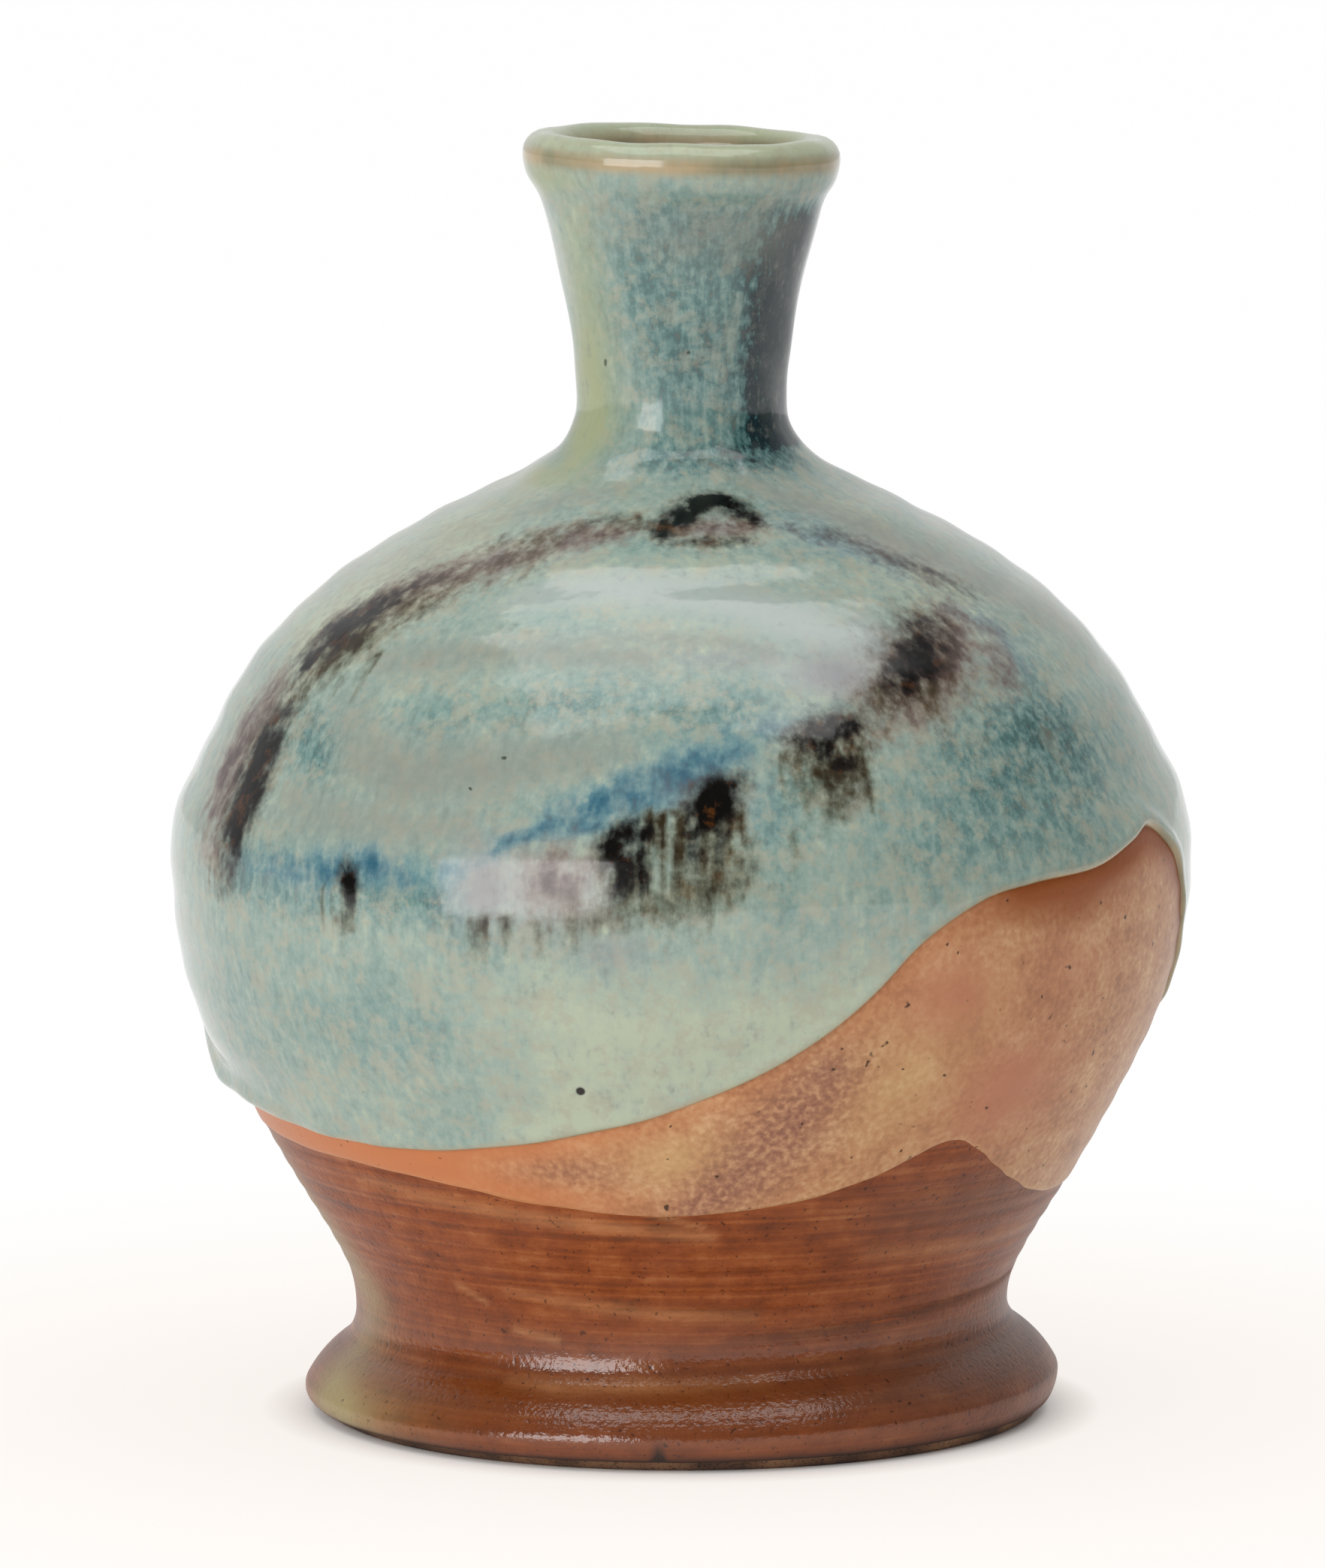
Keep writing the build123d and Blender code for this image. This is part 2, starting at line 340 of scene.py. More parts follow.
# The amber glaze: a thin iron glaze brushed or dipped over the foot and the lower body. It is red-brown,
# shows every line that the potter's rib left, and pools to a glossy honey colour over the flange.

COLUMNS = 480
COAT_AROUND = around(COLUMNS)
COAT_DEGREES = np.degrees(COAT_AROUND)
COAT_BACK = 0.02
AMBER_THICKNESS = 0.38
AMBER_START = 1.4
SCAR_DEPTH = 0.3

# The lower edge of the tan coat, which lies on the end of the amber, as azimuth in degrees and height
# in mm
TAN_EDGE = [
    (-180, 34.3), (-164, 33.6), (-140, 37.0), (-114, 41.0), (-88, 39.5), (-64, 38.8), (-40, 37.8),
    (-20, 35.4), (-4, 34.0), (12, 35.4), (26, 38.6), (38, 42.9), (48, 38.2), (60, 33.4), (74, 31.7),
    (90, 31.6), (112, 33.5), (140, 37.0), (168, 35.0),
]


def wander(stations):
    """A smooth closed line through stations of azimuth and height, at every column of a coat."""
    azimuth, height = np.array(stations).T
    turns = np.concatenate((azimuth - 360, azimuth, azimuth + 360))
    heights = np.tile(height, 3)
    slope = np.gradient(heights, turns)
    place = np.searchsorted(turns, COAT_DEGREES, side="right") - 1
    gap = turns[place + 1] - turns[place]
    share = (COAT_DEGREES - turns[place]) / gap
    rise, fall = share**2 * (3 - 2 * share), share * (1 - share)
    return (
        heights[place] * (1 - rise) + heights[place + 1] * rise
        + gap * fall * ((1 - share) * slope[place] - share * slope[place + 1])
    )


def quiver(size, seed):
    """The small unevenness of a hand-made line round the pot, in mm."""
    dice = np.random.default_rng(seed)
    waves = range(5, 40, 2)
    return size * sum(sin_wave(w, dice) / sqrt(w) for w in waves)


def sin_wave(waves, dice):
    """A wave that goes a whole number of times round the pot."""
    return dice.uniform(0.4, 1) * np.sin(waves * COAT_AROUND + dice.uniform(0, 2 * np.pi))


def spread(stops, counts):
    """Rings from stop to stop, each stop a length along the outline at every column."""
    rings = []
    for start, end, count in zip(stops, stops[1:], counts):
        rings += [start + (end - start) * share for share in np.arange(count) / count]
    return np.concatenate(rings + [stops[-1]])


def ribs(length, pitch, size):
    """The spiral that the potter's fingers left in the wall, seen through the glaze."""
    return size * np.sin(2 * np.pi * length / pitch - COAT_AROUND)


def coated(name, lengths, thickness, back_stops, back_counts):
    """A coat of glaze: its outer rings at a thickness, closed by a back against the clay."""
    outer = surface(lengths, thickness)
    back = surface(spread(back_stops, back_counts)[::-1], COAT_BACK)
    radius, height = (np.concatenate(pair) for pair in zip(outer, back))
    return turned(name, radius, height, COAT_AROUND)


def paint(piece, name, values, rings):
    """Stores a field of values on the outer rings of a coat, and zero on its back."""
    field = np.zeros(len(piece.data.vertices))
    flat = np.broadcast_to(values, (rings, COLUMNS)).ravel()
    field[: flat.size] = flat
    attribute = piece.data.attributes.new(name, "FLOAT", "POINT")
    attribute.data.foreach_set("value", field)


def stroke(lengths, *stations):
    """A soft brush mark along stations of azimuth, height, half-width in mm and strength."""
    radius, _ = surface(lengths)
    mark = np.zeros(lengths.shape)
    for (a1, h1, w1, s1), (a2, h2, w2, s2) in zip(stations, stations[1:]):
        turn = (COAT_DEGREES - a1 + 180) % 360 - 180
        x, y = np.radians(turn) * radius, lengths - outside(h1)
        end_x, end_y = radians(a2 - a1) * radius, outside(h2) - outside(h1)
        share = np.clip((x * end_x + y * end_y) / (end_x**2 + end_y**2 + 1e-9), 0, 1)
        away = np.hypot(x - share * end_x, y - share * end_y) / (w1 + (w2 - w1) * share)
        mark = np.maximum(mark, (s1 + (s2 - s1) * share) * np.exp(-(away**2)))
    return mark


def dab(lengths, azimuth, height, half_width, half_height, strength=1.0):
    """A soft oval patch of a size in mm."""
    radius, _ = surface(lengths)
    turn = (COAT_DEGREES - azimuth + 180) % 360 - 180
    x = np.radians(turn) * radius / half_width
    y = (lengths - outside(height)) / half_height
    return strength * np.exp(-(x**2) - y**2)


def brushed(lengths, strokes, dabs=(), combine=np.maximum):
    """Brush marks and patches as one field: the strongest at each point, or their sum."""
    return combine.reduce([stroke(lengths, *s) for s in strokes] + [dab(lengths, *d) for d in dabs])


tan_edge = wander(TAN_EDGE) + quiver(0.12, seed=3)
tan_length = outside(tan_edge)
amber_start = np.full_like(tan_length, outside(AMBER_START))
amber_stops = [amber_start, np.full_like(tan_length, outside(WAIST[1])), tan_length + 1.5]
amber_lengths = spread(amber_stops, (52, 40))
amber_height = surface(amber_lengths)[1]
groove = brushed(amber_lengths, [
    [(8, 16.4, 0.7, 0.6), (30, 17.0, 0.9, 1), (55, 18.6, 0.9, 1), (80, 19.6, 0.6, 0.6)],
])
chip = dab(amber_lengths, -3.5, 2.6, 0.8, 1.6)
amber_body = AMBER_THICKNESS + ribs(amber_lengths, pitch=3.1, size=0.05) * smooth(amber_height, 16, 24)
amber_body = amber_body - SCAR_DEPTH * groove - SCAR_DEPTH * chip
amber_body = amber_body * smooth(amber_lengths - amber_start, -0.4, 0.8)
amber_piece = coated("amber_glaze_coat", amber_lengths, amber_body, amber_stops, (10, 8))
rings = len(amber_lengths)
ash = brushed(amber_lengths, [
    [(-84, 34, 9, 0.35), (-78, 24, 7, 0.7), (-70, 17, 5, 0.8), (-72, 9, 8, 0.7), (-66, 4, 8, 0.8)],
], [
    (-58, 5, 12, 4, 0.5),
], np.add)
smoke = brushed(amber_lengths, [], [
    (62, 9, 30, 8, 0.7), (50, 34, 26, 6, 0.45),
], np.add)
honey = dab(amber_lengths, -8, 9, 46, 8.0, 1.0)
# Pale marks: scratches and thin glaze over ridges, and across the flange at 10.4 mm a pale band that is a
# painted highlight
light = brushed(amber_lengths, [
    [(-50, 36.5, 1.2, 0.4), (-20, 33.6, 1.2, 0.7), (4, 31.8, 1.0, 0.6)],
    [(-30, 22.6, 0.9, 0.35), (-8, 20.6, 1.2, 0.6), (12, 19.8, 1.0, 0.35)],
    [(-30, 17.2, 0.5, 0.8), (-22, 16.2, 0.5, 0.8)],
    [(-40, 22.6, 0.5, 0.7), (-35, 20.6, 0.5, 0.6)],
    [(-5, 35.2, 0.5, 0.8), (3, 33.0, 0.5, 0.6)],
    # The painted highlight band across the flange
    [(-30, 10.4, 1.2, 0.3), (-22, 10.2, 1.4, 0.7), (-6, 10.4, 1.4, 0.6), (14, 10.6, 1.2, 0.25)],
    [(30, 28, 1.4, 0.3), (52, 27, 1.6, 0.5), (70, 28, 1.6, 0.5)],
], [
    (128, 26, 16, 4, 0.5), (-150, 30, 18, 4, 0.5),
])
# Near-black along the foot's lower edge, in the chip and along the groove: bare clay, and partly painted
# shade under the foot and in these hollows
bare_and_painted_shade = (1 - smooth(amber_height, AMBER_START, AMBER_START + 1.5)) + chip + groove * 0.5
WHEEL_SPAN = 100  # mm along the outline for one unit of the field that the level lines follow
wheel = amber_lengths / WHEEL_SPAN + 0.004 * np.sin(COAT_AROUND + 1)
for name, values in (
    ("ash", ash), ("smoke", smoke), ("honey", honey), ("light", light), ("bare_and_painted_shade", bare_and_painted_shade), ("wheel", wheel),
):
    paint(amber_piece, name, values, rings)

# Iron amber glaze: a hard gloss where it pooled on the flange, satin where it is thin, and fine level
# lines of darker and lighter brown all round, with pale scratches and a painted highlight band on the
# flange
amber = material("iron_amber_glaze")
tree = amber.node_tree
place = add(tree, "TexCoord", out="Object")
here = {
    name: add(tree, "Attribute", attribute_name=name, out="Fac")
    for name in ("wheel", "honey", "light", "smoke", "ash", "bare_and_painted_shade")
}
level_lines = add(tree, "TexNoise", {
    "W": here["wheel"], "Scale": WHEEL_SPAN / 1.1, "Detail": 3,
}, noise_dimensions="1D")
level_stretch = add(tree, "Mapping", {"Vector": place, "Scale": (1, 1, 6)})
drag = add(tree, "TexNoise", {
    "Vector": level_stretch, "Scale": per_metre(9), "Detail": 5, "Roughness": 0.65,
})
cloud = add(tree, "TexNoise", {"Vector": place, "Scale": per_metre(12), "Detail": 4})
fleck = add(tree, "TexNoise", {"Vector": place, "Scale": per_metre(0.7), "Detail": 2})
patches = add(tree, "TexNoise", {"Vector": place, "Scale": per_metre(5), "Detail": 4, "Roughness": 0.65})
tone = add(tree, "Math", {0: level_lines, 1: 0.27}, operation="MULTIPLY")
tone = add(tree, "Math", {0: drag, 1: 0.3, 2: tone}, operation="MULTIPLY_ADD")
tone = add(tree, "Math", {0: patches, 1: 0.43, 2: tone}, operation="MULTIPLY_ADD")
amber_colour = add(tree, "ValToRGB", {"Fac": tone}, stops=[
    (0.34, "#582708"), (0.47, "#77370f"), (0.55, "#874419"), (0.68, "#9c6136"),
])
rose = add(tree, "ValToRGB", {"Fac": cloud}, stops=[(0.42, "#000000"), (0.66, "#707070")])
honey_amount = add(tree, "Math", {0: here["honey"], 1: 0.8}, operation="MULTIPLY")
pale_marks_and_painted_highlight = add(tree, "Math", {0: here["light"], 1: drag}, operation="MULTIPLY")
ash_amount = add(tree, "Math", {0: here["ash"], 1: cloud}, operation="MULTIPLY")
ash_amount = add(tree, "Math", {0: ash_amount, 1: 1.7}, operation="MULTIPLY", use_clamp=True)
# The pale marks add their colour here, which on the flange is a painted highlight
for amount, hue in (
    (rose, "#86503c"), (honey_amount, "#653006"), (pale_marks_and_painted_highlight, "#c08a5c"), (here["smoke"], "#5e4436"),
    (ash_amount, "#97865a"),
):
    amber_colour = add(tree, "MixRGB", {"Fac": amount, "Color1": amber_colour, "Color2": linear(hue)})
flecks = add(tree, "ValToRGB", {"Fac": fleck}, stops=[(0.27, "#4c2c1a"), (0.36, "#ffffff")])
amber_colour = add(tree, "MixRGB", {
    "Fac": 0.7, "Color1": amber_colour, "Color2": flecks,
}, blend_type="MULTIPLY")
# The near-black of bare clay, partly painted shade under the foot and in the chip and the groove
bare_edge_and_painted_shade = linear("#2e1a10")
amber_colour = add(tree, "MixRGB", {"Fac": here["bare_and_painted_shade"], "Color1": amber_colour, "Color2": bare_edge_and_painted_shade})
shine = add(tree, "MapRange", {"Value": here["bare_and_painted_shade"], "To Min": 0.36, "To Max": 0.9})
lines_relief = add(tree, "Bump", {"Height": level_lines, "Distance": 0.00012, "Strength": 0.4})
relief = add(tree, "Bump", {"Height": fleck, "Distance": 0.0002, "Strength": 0.5, "Normal": lines_relief})
gloss = add(tree, "BsdfPrincipled", {
    "Base Color": amber_colour, "Roughness": shine, "Specular IOR Level": 0.22, "Normal": relief,
    "Coat Weight": here["honey"], "Coat Roughness": 0.12, "Coat IOR": 1.75, "Coat Normal": relief,
})
add(tree, "OutputMaterial", {"Surface": gloss})
amber_piece.data.materials.append(amber)
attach(amber_piece, "root")
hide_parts("amber_glaze")


# The tan glaze: the second dip, a satin tan coat that shows in a crescent between amber and celadon.
# It flashed orange along the celadon's edge and broke to a speckled purple patch in the middle.

TAN_THICKNESS = 0.55

# The lower edge of the celadon coat, as azimuth in degrees and height in mm
CELADON_EDGE = [
    (-180, 47.0), (-155, 57.0), (-137, 68.0), (-122, 70.0), (-108, 60.0), (-98, 51.0), (-86, 46.0),
    (-73, 44.2), (-60, 42.6), (-38, 42.4), (-25, 43.7), (-16, 45.6), (-1, 49.9), (12, 56.6), (22, 65.0),
    (26, 69.8), (31, 73.8), (35, 76.0), (42, 77.3), (54, 78.2), (61, 80.2), (66, 81.6), (71, 79.0),
    (76, 74.5), (83, 64.0), (90, 55.5), (100, 49.5), (120, 44.5), (150, 43.5),
]


def bell(value, middle, width):
    """One at the middle, with a soft fall to either side."""
    return np.exp(-(((value - middle) / width) ** 2))


celadon_edge = wander(CELADON_EDGE) + quiver(0.10, seed=7)
celadon_length = outside(celadon_edge)
tan_stops = [tan_length, tan_length + 2.5, celadon_length + 1.2]
tan_lengths = spread(tan_stops, (10, 58))
tan_body = TAN_THICKNESS * (0.35 + 0.65 * smooth(tan_lengths - tan_length, 0, 1.1))
tan_body = tan_body + ribs(tan_lengths, pitch=5.2, size=0.05)
tan_body = tan_body * (1 - 0.5 * smooth(tan_lengths - celadon_length, 0.3, 1.2))
tan_piece = coated("tan_glaze_coat", tan_lengths, tan_body, tan_stops, (2, 12))
rings = len(tan_lengths)
to_celadon = celadon_length - tan_lengths
left = smooth(COAT_DEGREES, -170, -100) * (1 - smooth(COAT_DEGREES, -26, 4))
right = smooth(COAT_DEGREES, 30, 44) * (1 - smooth(COAT_DEGREES, 90, 150))
flash = bell(to_celadon, 0, 3.5) * (0.35 + 0.65 * left)
flash = flash + 0.9 * left * (1 - smooth(tan_lengths - tan_length, 2, 7))
# Dark orange-brown just under the celadon's edge on the right: thick amber, darkened further as a painted
# shadow under the rolled edge
scorch_and_painted_shadow = 1.3 * bell(to_celadon, 0, 4.2) * right + dab(tan_lengths, 50, 73, 8, 2.4, 0.35)
plum = brushed(tan_lengths, [
    [(17, 54, 5, 0.9), (13, 47, 6.5, 0.95), (8, 41, 5.5, 0.95), (2, 36, 4, 0.8)],
], [
    (-14, 41, 7, 2.0, 0.5), (128, 52, 12, 6, 0.5),
], np.add)
straw = brushed(tan_lengths, [], [
    (0, 43, 8, 4, 0.9), (27, 52, 8, 9, 0.7), (35, 62, 5, 6, 0.6), (-132, 55, 14, 8, 0.6),
], np.add)
pink = brushed(tan_lengths, [], [
    (44, 50, 10, 8, 0.9), (32, 64, 8, 6, 0.8), (50, 66, 8, 5, 0.4),
], np.add)
seam = bell(tan_lengths, tan_length, 0.8)
for name, values in (
    ("flash", flash), ("scorch_and_painted_shadow", scorch_and_painted_shadow), ("plum", plum), ("straw", straw), ("pink", pink), ("seam", seam),
):
    paint(tan_piece, name, values, rings)

# Satin tan glaze: a fine dry mottle of tan, straw and rose with iron specks, and little reflection
tan_glaze = material("satin_tan_glaze")
tree = tan_glaze.node_tree
place = add(tree, "TexCoord", out="Object")
here = {
    name: add(tree, "Attribute", attribute_name=name, out="Fac")
    for name in ("straw", "pink", "flash", "scorch_and_painted_shadow", "plum", "seam")
}
cloud = add(tree, "TexNoise", {"Vector": place, "Scale": per_metre(7), "Detail": 4, "Roughness": 0.6})
grain = add(tree, "TexNoise", {"Vector": place, "Scale": per_metre(0.9), "Detail": 2})
tone = add(tree, "Math", {0: grain, 1: 0.45}, operation="MULTIPLY")
tone = add(tree, "Math", {0: cloud, 1: 0.55, 2: tone}, operation="MULTIPLY_ADD")
tan_colour = add(tree, "ValToRGB", {"Fac": tone}, stops=[
    (0.36, "#8f5f42"), (0.47, "#a87350"), (0.56, "#b28560"), (0.66, "#c29a74"),
])
plum_tone = add(tree, "ValToRGB", {"Fac": grain}, stops=[
    (0.36, "#7b5142"), (0.52, "#92664f"), (0.66, "#ab8060"),
])
straw_amount = add(tree, "Math", {0: here["straw"], 1: cloud, 2: 0.1}, operation="MULTIPLY_ADD")
tan_colour = add(tree, "MixRGB", {"Fac": straw_amount, "Color1": tan_colour, "Color2": linear("#b99a68")})
# Each patch mixes in its colour; the dark orange-brown under the celadon's edge is partly a painted shadow
for name, most, hue in (
    ("pink", 1.0, linear("#aa6c50")), ("flash", 0.85, linear("#b36c40")),
    ("scorch_and_painted_shadow", 0.95, linear("#84420c")), ("plum", 0.9, plum_tone), ("seam", 0.35, linear("#c8a06c")),
):
    amount = add(tree, "Math", {0: here[name], 1: most}, operation="MULTIPLY", use_clamp=True)
    tan_colour = add(tree, "MixRGB", {"Fac": amount, "Color1": tan_colour, "Color2": hue})
speck = add(tree, "TexNoise", {"Vector": place, "Scale": per_metre(1.3), "Detail": 1})
specks = add(tree, "ValToRGB", {"Fac": speck}, stops=[(0.215, "#3a2316"), (0.265, "#ffffff")])
tan_colour = add(tree, "MixRGB", {
    "Fac": 0.85, "Color1": tan_colour, "Color2": specks,
}, blend_type="MULTIPLY")
relief = add(tree, "Bump", {"Height": grain, "Distance": 0.00012, "Strength": 0.35})
satin = add(tree, "BsdfPrincipled", {
    "Base Color": tan_colour, "Roughness": 0.36, "Specular IOR Level": 0.28, "Normal": relief,
})
add(tree, "OutputMaterial", {"Surface": satin})
tan_piece.data.materials.append(tan_glaze)
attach(tan_piece, "root")
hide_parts("tan_glaze")


# The celadon glaze: the last and thickest dip, held by the foot, so it ends below in a wavy line with a
# rolled edge. Iron, manganese and cobalt were brushed on in one loose loop, and ran down in the kiln.

CELADON_THICKNESS = 0.9
EDGE_ROLL = 0.7
EDGE_STEP = 0.3
LIP_START = 158.0
HEAP_AZIMUTH = -92
SAG_AZIMUTH = -96

# The space that the runs are drawn in: mm at the axis, mm per mm of radius and mm per mm down the wall.
# A mark drawn in it comes out three to five times as long as it is wide
FLOW_CORE, FLOW_ACROSS, FLOW_DOWN = 8.0, 0.75, 0.27


def flow_lines(piece, lengths):
    """Stores where each point lies in a space that is drawn out along the way that glaze runs."""
    radius, _ = surface(lengths)
    spoke = FLOW_CORE + FLOW_ACROSS * radius
    field = np.zeros((len(piece.data.vertices), 3))
    flow = (spoke * np.sin(COAT_AROUND), spoke * np.cos(COAT_AROUND), FLOW_DOWN * lengths)
    field[: lengths.size] = np.stack(flow, axis=-1).reshape(-1, 3) * MM
    attribute = piece.data.attributes.new("flow", "FLOAT_VECTOR", "POINT")
    attribute.data.foreach_set("vector", field.ravel())


mouth_end = np.full_like(celadon_length, MOUTH_INSIDE)
lip_start = np.full_like(celadon_length, outside(LIP_START))
celadon_stops = [celadon_length, celadon_length + EDGE_ROLL, celadon_length + 4, lip_start, mouth_end]
lengths = spread(celadon_stops, (7, 8, 112, 38))
rings = len(lengths)
height = surface(lengths)[1]
from_edge = lengths - celadon_length

# How thick the coat lies: thin at the lip, pooled under the neck, and heaped along its lower edge
heap = 0.35 + 1.3 * bell(COAT_DEGREES, HEAP_AZIMUTH, 22) + 0.25 * quiver(1.0, seed=11)
bead = heap * bell(from_edge, 1.2, 1.5)
pool_ring = 0.16 * bell(height, NECK_JOINT, 3.0)
lip_roll = -0.12 * bell(height, 166.4, 1.6) * (lengths < CREST_LENGTH)
swell = 0.05 * sum(
    np.sin(k * COAT_AROUND + m * lengths / 9 + k * m)
    for k, m in ((2, 1), (5, -2), (7, 3), (11, 1), (3, -4))
)
sag = 0.75 * bell(COAT_DEGREES, SAG_AZIMUTH, 30) * bell(from_edge, 9, 12)
depth = CELADON_THICKNESS + bead + sag + pool_ring + lip_roll + swell
depth = depth + ribs(lengths, pitch=7.5, size=0.07) * (1 - smooth(height, 126, 150))
edge_round = np.sqrt(np.clip(1 - (1 - np.clip(from_edge / EDGE_ROLL, 0, 1)) ** 2, 0, 1))
depth = EDGE_STEP + (depth - EDGE_STEP) * edge_round
celadon_piece = coated("celadon_glaze_coat", lengths, depth, celadon_stops, (2, 2, 18, 10))
flow_lines(celadon_piece, lengths)

# Where the brushed oxides lie. Each brush mark is a row of azimuth, height, half-width and strength
oxide = brushed(lengths, [
    [(-62, 73.5, 2.0, 0.35), (-61.4, 78, 3.6, 0.85), (-61.2, 84, 4.6, 1.05), (-62, 91, 4.8, 1.0),
     (-61.8, 96, 4.2, 0.75), (-61, 99, 3.0, 0.5)],
    [(-64, 99.4, 3.4, 0.5), (-63, 103.6, 5.0, 0.85), (-60.6, 107.4, 5.0, 1.0), (-56, 110.4, 4.0, 0.75),
     (-50, 112.6, 4.4, 0.42)],
    [(-49.4, 117.0, 1.8, 0.2), (-39.5, 118.2, 2.0, 0.3), (-31.4, 119.7, 2.0, 0.4),
     (-24, 120.9, 1.9, 0.55), (-16.3, 121.4, 2.0, 0.5), (-7.8, 120.8, 2.4, 0.62)],
    [(-4.5, 120.0, 2.4, 0.85), (-1.2, 121.3, 2.8, 1.0), (4.4, 122.9, 2.4, 1.05), (11, 123.4, 2.3, 1.05),
     (17.4, 122.2, 2.3, 0.95), (21, 120.6, 1.8, 0.55)],
    [(-3, 119.0, 1.6, 0.6), (16, 119.0, 1.5, 0.6)],
    [(22, 120.4, 1.8, 0.1), (28, 120.1, 2.2, 0.3), (38, 119.0, 2.6, 0.42), (46, 116.0, 3.0, 0.42),
     (51, 114.2, 3.4, 0.55), (58, 111.6, 3.0, 0.35)],
    [(47, 109.6, 3.4, 0.3), (41, 108.6, 4.6, 0.62), (36.6, 106.0, 4.8, 0.9), (33, 103.8, 4.6, 0.85),
     (30, 102.0, 3.8, 0.65), (26.5, 100.4, 3.0, 0.45)],
    [(24.5, 98.8, 2.4, 0.45), (21.4, 98.0, 2.8, 0.8), (18, 97.6, 3.0, 0.95), (15.4, 96.8, 2.4, 0.7),
     (13, 96.6, 1.8, 0.4)],
    [(6.4, 92.0, 2.2, 0.7), (4.2, 90.2, 3.1, 1.1), (2.4, 88.0, 3.1, 1.1), (1.2, 85.4, 2.0, 0.75)],
    [(5.2, 88.0, 2.0, 0.75), (4.5, 84.4, 1.8, 0.75), (4.2, 80.6, 1.5, 0.55)],
    [(1.4, 85.6, 1.9, 0.8), (1.2, 80.6, 1.6, 0.7), (1.0, 76.6, 1.2, 0.4)],
    [(-4.2, 86.2, 1.6, 0.9), (-4.6, 83.0, 2.0, 1.0), (-4.4, 79.6, 1.6, 0.8), (-4.0, 76.4, 1.2, 0.4)],
    [(-3.6, 87.1, 1.6, 0.6), (-6.1, 86.2, 2.1, 0.9), (-8.0, 84.4, 2.3, 1.0), (-6.7, 82.0, 2.6, 1.1),
     (-7.1, 78.6, 1.8, 0.8)],
    [(-40.2, 80.4, 1.2, 0.6), (-39.8, 77.9, 2.0, 1.0), (-39.4, 75.6, 1.7, 0.8), (-40.4, 73.0, 1.4, 0.5)],
], [
    (20.0, 94.0, 3.0, 3.0, 0.8), (19.4, 90.4, 1.4, 2.6, 0.6), (15.0, 94.6, 1.8, 2.6, 0.6),
    (17.6, 95.4, 3.0, 2.6, 0.95),
])
dice = np.random.default_rng(21)
RUNS = [  # first and last azimuth, height at the top, longest run in mm, how many, strength
    (-10, -4, 81, 8, 7, 0.75), (-4, 6.5, 87, 13, 16, 1.0), (12, 23, 94, 8, 11, 0.9),
    (-29, -10, 74, 6, 12, 0.7), (-44, -37, 76, 8, 5, 0.7), (26, 44, 101, 5, 10, 0.5),
    (-66, -59, 77, 8, 5, 0.6), (-60, -47, 104, 6, 10, 0.8), (-48, -22, 118, 5, 14, 0.5),
    (3, 13, 84, 8, 7, 0.5),
]
drips = brushed(lengths, [
    [(-59.6, 99.4, 3.6, 0.55), (-57.4, 103.0, 4.4, 0.75), (-54, 106.6, 4.4, 0.7),
     (-49, 110.0, 4.0, 0.5), (-41, 113.4, 3.4, 0.36)],
    [(-7, 75.6, 2.6, 0.45), (0, 77.6, 3.8, 0.6), (6, 81.6, 3.6, 0.6)],
    [(20, 95.6, 5.0, 0.5), (18.6, 92.0, 5.0, 0.85), (18, 88.0, 3.4, 0.5)],
    [(-15, 75.0, 3.0, 0.35), (-9, 75.4, 3.0, 0.5)],
])
for first, last, top, longest, count, strength in RUNS:
    for _ in range(count):
        azimuth, fall = dice.uniform(first, last), longest * dice.uniform(0.4, 1)
        wide, dark = dice.uniform(0.6, 1.1), strength * dice.uniform(0.6, 1)
        foot_of_run = (azimuth + dice.uniform(-0.4, 0.4), top - fall, wide * 0.6, 0.6 * dark)
        drips = np.maximum(drips, stroke(lengths, (azimuth, top + 1, wide, dark), foot_of_run))
plum = brushed(lengths, [
    [(-66, 79, 5.0, 0.55), (-68, 86, 6.0, 0.8), (-69, 93, 6.0, 0.8), (-68, 99, 5.0, 0.6)],
    [(-62, 107.0, 5.4, 0.6), (-55, 111.2, 6.0, 0.75), (-46, 114.4, 5.6, 0.72), (-36, 117.0, 5.0, 0.7),
     (-26, 119.2, 4.0, 0.72), (-14, 120.2, 3.0, 0.65)],
    [(-1, 120.4, 3.4, 0.7), (6, 120.6, 3.4, 0.6), (16, 120.4, 3.2, 0.7)],
    [(48, 108.8, 5.4, 0.6), (41, 106.0, 6.4, 0.85), (34, 102.4, 6.2, 0.85), (27, 99.8, 5.2, 0.65)],
    [(53, 107, 4.2, 0.5), (48.6, 102.4, 4.6, 0.6)],
    [(26, 120.4, 3.0, 0.2), (42, 118.0, 4.0, 0.4), (52, 114.0, 4.4, 0.4)],
    [(24, 98, 4.4, 0.5), (14, 96, 4.4, 0.4)],
], [
    (3, 90, 8, 5, 0.35), (-13.5, 80.0, 6.5, 5.0, 0.8), (-21, 79, 5, 5, 0.15),
])
